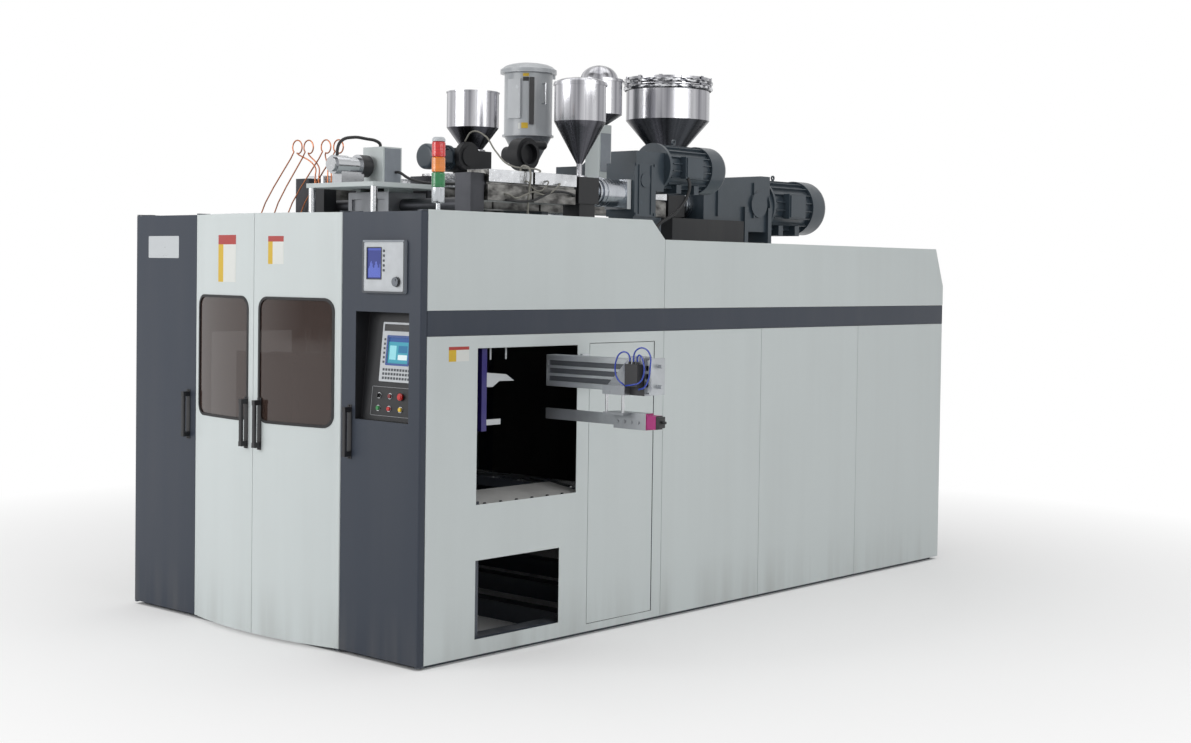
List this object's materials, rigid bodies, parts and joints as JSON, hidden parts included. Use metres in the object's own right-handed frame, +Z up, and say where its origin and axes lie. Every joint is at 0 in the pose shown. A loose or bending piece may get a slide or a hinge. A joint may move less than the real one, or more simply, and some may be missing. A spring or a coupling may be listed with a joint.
{
  "type": "blow moulding machine",
  "caption": "Double-station extrusion blow moulding machine with curved window doors, shuttle moulds, extruders with hoppers on the roof and a side take-out unit.",
  "frame": {"origin": "on the floor under the middle of the base", "axes": "+X to the right as seen by someone facing the doors, +Y from the doors to the rear, +Z up"},
  "size_m": [3.297, 5.0521, 3.3393],
  "materials": {
    "dark_paint": "satin powder coat",
    "pale_paint": "satin powder coat",
    "drive_paint": "semi-gloss machine enamel",
    "carriage_paint": "semi-gloss machine enamel",
    "frame_steel": "semi-gloss machine enamel",
    "bright_steel": "machined",
    "stainless": "polished sheet",
    "cover_sheet": "bright sheet",
    "profile": "anodised",
    "copper": "drawn tube",
    "tinted_pane": "brown tint",
    "black_plastic": "fine grain",
    "pale_plastic": "smooth",
    "red_plastic": "smooth",
    "dark_red_plastic": "smooth",
    "green_plastic": "smooth",
    "yellow_plastic": "smooth",
    "lamp_stack": "ribbed lenses",
    "grey_cable": "smooth sheath",
    "blue_tube": "smooth tube"
  },
  "bodies": {
    "machine": {"base_frame": "frame_steel", "upper_frame": "frame_steel", "roof_panels": "pale_paint", "side_panels": "pale_paint", "rear_panels": "pale_paint", "stripe_bands": "dark_paint", "die_head": "bright_steel", "head_platform": "pale_paint", "parison_servo": "bright_steel", "control_boxes": "pale_paint", "copper_lines": "copper", "extruder_barrels": "bright_steel", "barrel_covers": "cover_sheet", "gearboxes": "drive_paint", "motors": "drive_paint", "drive_couplings": "bright_steel", "hoppers": "stainless", "dryer": "pale_paint", "dryer_blower": "black_plastic", "signal_tower": "lamp_stack", "take_out_beam": "profile", "cables": "grey_cable"},
    "left_dark_door": {"left_dark_door": "dark_paint", "left_dark_handle": "black_plastic"},
    "left_window_door": {"left_window_door": "pale_paint", "left_window_pane": "tinted_pane", "left_window_handle": "black_plastic"},
    "right_window_door": {"right_window_door": "pale_paint", "right_window_pane": "tinted_pane", "right_window_handle": "black_plastic"},
    "control_door": {"control_door": "dark_paint", "control_door_handle": "black_plastic", "parison_controller": "pale_plastic", "operator_console": "black_plastic", "operator_screen": "pale_plastic"},
    "take_out_trolley": {"take_out_trolley": "profile", "air_lines": "blue_tube"},
    "access_door": {"access_door": "pale_paint"},
    "controller_dial": {"controller_dial": "bright_steel"},
    "emergency_stop": {"emergency_stop": "red_plastic"},
    "selector_switch": {"selector_switch": "black_plastic"},
    "cycle_button": {"cycle_button": "dark_red_plastic"},
    "start_button": {"start_button": "green_plastic"},
    "stop_button": {"stop_button": "red_plastic"},
    "reset_button": {"reset_button": "yellow_plastic"},
    "right_carriage": {"right_carriage": "carriage_paint"},
    "left_carriage": {"left_carriage": "carriage_paint"},
    "right_front_platen": {"right_front_platen": "bright_steel"},
    "right_rear_platen": {"right_rear_platen": "bright_steel"},
    "left_front_platen": {"left_front_platen": "bright_steel"},
    "left_rear_platen": {"left_rear_platen": "bright_steel"},
    "right_blow_pins": {"right_blow_pins": "bright_steel"},
    "left_blow_pins": {"left_blow_pins": "bright_steel"},
    "main_screw": {"main_screw": "bright_steel"},
    "right_screw": {"right_screw": "bright_steel"},
    "left_screw": {"left_screw": "bright_steel"},
    "small_screw": {"small_screw": "bright_steel"},
    "dryer_lid": {"dryer_lid": "pale_paint"},
    "gripper_bar": {"gripper_bar": "profile"},
    "gripper_jaw": {"gripper_jaw": "profile"}
  },
  "joints": [
    {"name": "left_dark_door_hinge", "type": "hinge", "parent": "machine", "child": "left_dark_door", "pos_m": [-1.205, -2.415, 1.1], "axis": [0, 0, -1], "range_deg": [0, 110]},
    {"name": "left_window_door_hinge", "type": "hinge", "parent": "machine", "child": "left_window_door", "pos_m": [-0.6145, -2.421, 1.1], "axis": [0, 0, -1], "range_deg": [0, 105]},
    {"name": "right_window_door_hinge", "type": "hinge", "parent": "machine", "child": "right_window_door", "pos_m": [0.6145, -2.421, 1.1], "axis": [0, 0, 1], "range_deg": [0, 105]},
    {"name": "control_door_hinge", "type": "hinge", "parent": "machine", "child": "control_door", "pos_m": [1.205, -2.415, 1.1], "axis": [0, 0, 1], "range_deg": [0, 110]},
    {"name": "access_door_hinge", "type": "hinge", "parent": "machine", "child": "access_door", "pos_m": [1.207, -0.673, 0.8], "axis": [0, 0, 1], "range_deg": [0, 100]},
    {"name": "controller_dial_turn", "type": "hinge", "parent": "control_door", "child": "controller_dial", "pos_m": [1.054, -2.44, 1.895], "axis": [0, 1, 0], "continuous": true},
    {"name": "selector_turn", "type": "hinge", "parent": "control_door", "child": "selector_switch", "pos_m": [0.857, -2.37256, 1.32537], "axis": [0, 0.9949, -0.1011], "range_deg": [-45, 45]},
    {"name": "start_button_push", "type": "slide", "parent": "control_door", "child": "start_button", "axis": [0, 0.9949, -0.1011], "range_m": [0, 0.004], "stiffness_N_per_m": 600, "springref_m": -0.002},
    {"name": "stop_button_push", "type": "slide", "parent": "control_door", "child": "stop_button", "axis": [0, 0.9949, -0.1011], "range_m": [0, 0.004], "stiffness_N_per_m": 600, "springref_m": -0.002},
    {"name": "reset_button_push", "type": "slide", "parent": "control_door", "child": "reset_button", "axis": [0, 0.9949, -0.1011], "range_m": [0, 0.004], "stiffness_N_per_m": 600, "springref_m": -0.002},
    {"name": "cycle_button_push", "type": "slide", "parent": "control_door", "child": "cycle_button", "axis": [0, 0.9949, -0.1011], "range_m": [0, 0.004], "stiffness_N_per_m": 600, "springref_m": -0.002},
    {"name": "emergency_stop_push", "type": "slide", "parent": "control_door", "child": "emergency_stop", "axis": [0, 0.9949, -0.1011], "range_m": [0, 0.004]},
    {"name": "right_carriage_slide", "type": "slide", "parent": "machine", "child": "right_carriage", "axis": [1, 0, 0], "range_m": [0, 0.6]},
    {"name": "left_carriage_slide", "type": "slide", "parent": "machine", "child": "left_carriage", "axis": [1, 0, 0], "range_m": [0, 0.6]},
    {"name": "right_front_platen_slide", "type": "slide", "parent": "right_carriage", "child": "right_front_platen", "axis": [0, -1, 0], "range_m": [0, 0.11]},
    {"name": "right_rear_platen_slide", "type": "slide", "parent": "right_carriage", "child": "right_rear_platen", "axis": [0, 1, 0], "range_m": [0, 0.11]},
    {"name": "left_front_platen_slide", "type": "slide", "parent": "left_carriage", "child": "left_front_platen", "axis": [0, -1, 0], "range_m": [0, 0.11]},
    {"name": "left_rear_platen_slide", "type": "slide", "parent": "left_carriage", "child": "left_rear_platen", "axis": [0, 1, 0], "range_m": [0, 0.11]},
    {"name": "right_blow_pins_slide", "type": "slide", "parent": "machine", "child": "right_blow_pins", "axis": [0, 0, -1], "range_m": [0, 0.19]},
    {"name": "left_blow_pins_slide", "type": "slide", "parent": "machine", "child": "left_blow_pins", "axis": [0, 0, -1], "range_m": [0, 0.19]},
    {"name": "main_screw_turn", "type": "hinge", "parent": "machine", "child": "main_screw", "pos_m": [0, 0, 2.42], "axis": [0, 1, 0], "continuous": true},
    {"name": "right_screw_turn", "type": "hinge", "parent": "machine", "child": "right_screw", "pos_m": [0.7, -1, 2.42], "axis": [0, 1, 0], "continuous": true},
    {"name": "left_screw_turn", "type": "hinge", "parent": "machine", "child": "left_screw", "pos_m": [-0.66, -0.5, 2.42], "axis": [0, 1, 0], "continuous": true},
    {"name": "small_screw_turn", "type": "hinge", "parent": "machine", "child": "small_screw", "pos_m": [-0.35, -1, 2.42], "axis": [0, 1, 0], "continuous": true},
    {"name": "dryer_lid_hinge", "type": "hinge", "parent": "machine", "child": "dryer_lid", "pos_m": [-0.66, 0.425, 3.283], "axis": [-1, 0, 0], "range_deg": [0, 100]},
    {"name": "take_out_slide", "type": "slide", "parent": "machine", "child": "take_out_trolley", "axis": [1, 0, 0], "range_m": [-0.4, 0]},
    {"name": "gripper_lift", "type": "slide", "parent": "take_out_trolley", "child": "gripper_bar", "axis": [0, 0, 1], "range_m": [0, 0.08]},
    {"name": "gripper_close", "type": "slide", "parent": "gripper_bar", "child": "gripper_jaw", "axis": [0, -1, 0], "range_m": [0, 0.011]}
  ],
  "couplings": [
    {"joint": "left_carriage_slide", "follows": "right_carriage_slide", "ratio": 1},
    {"joint": "right_rear_platen_slide", "follows": "right_front_platen_slide", "ratio": 1},
    {"joint": "left_rear_platen_slide", "follows": "left_front_platen_slide", "ratio": 1}
  ]
}
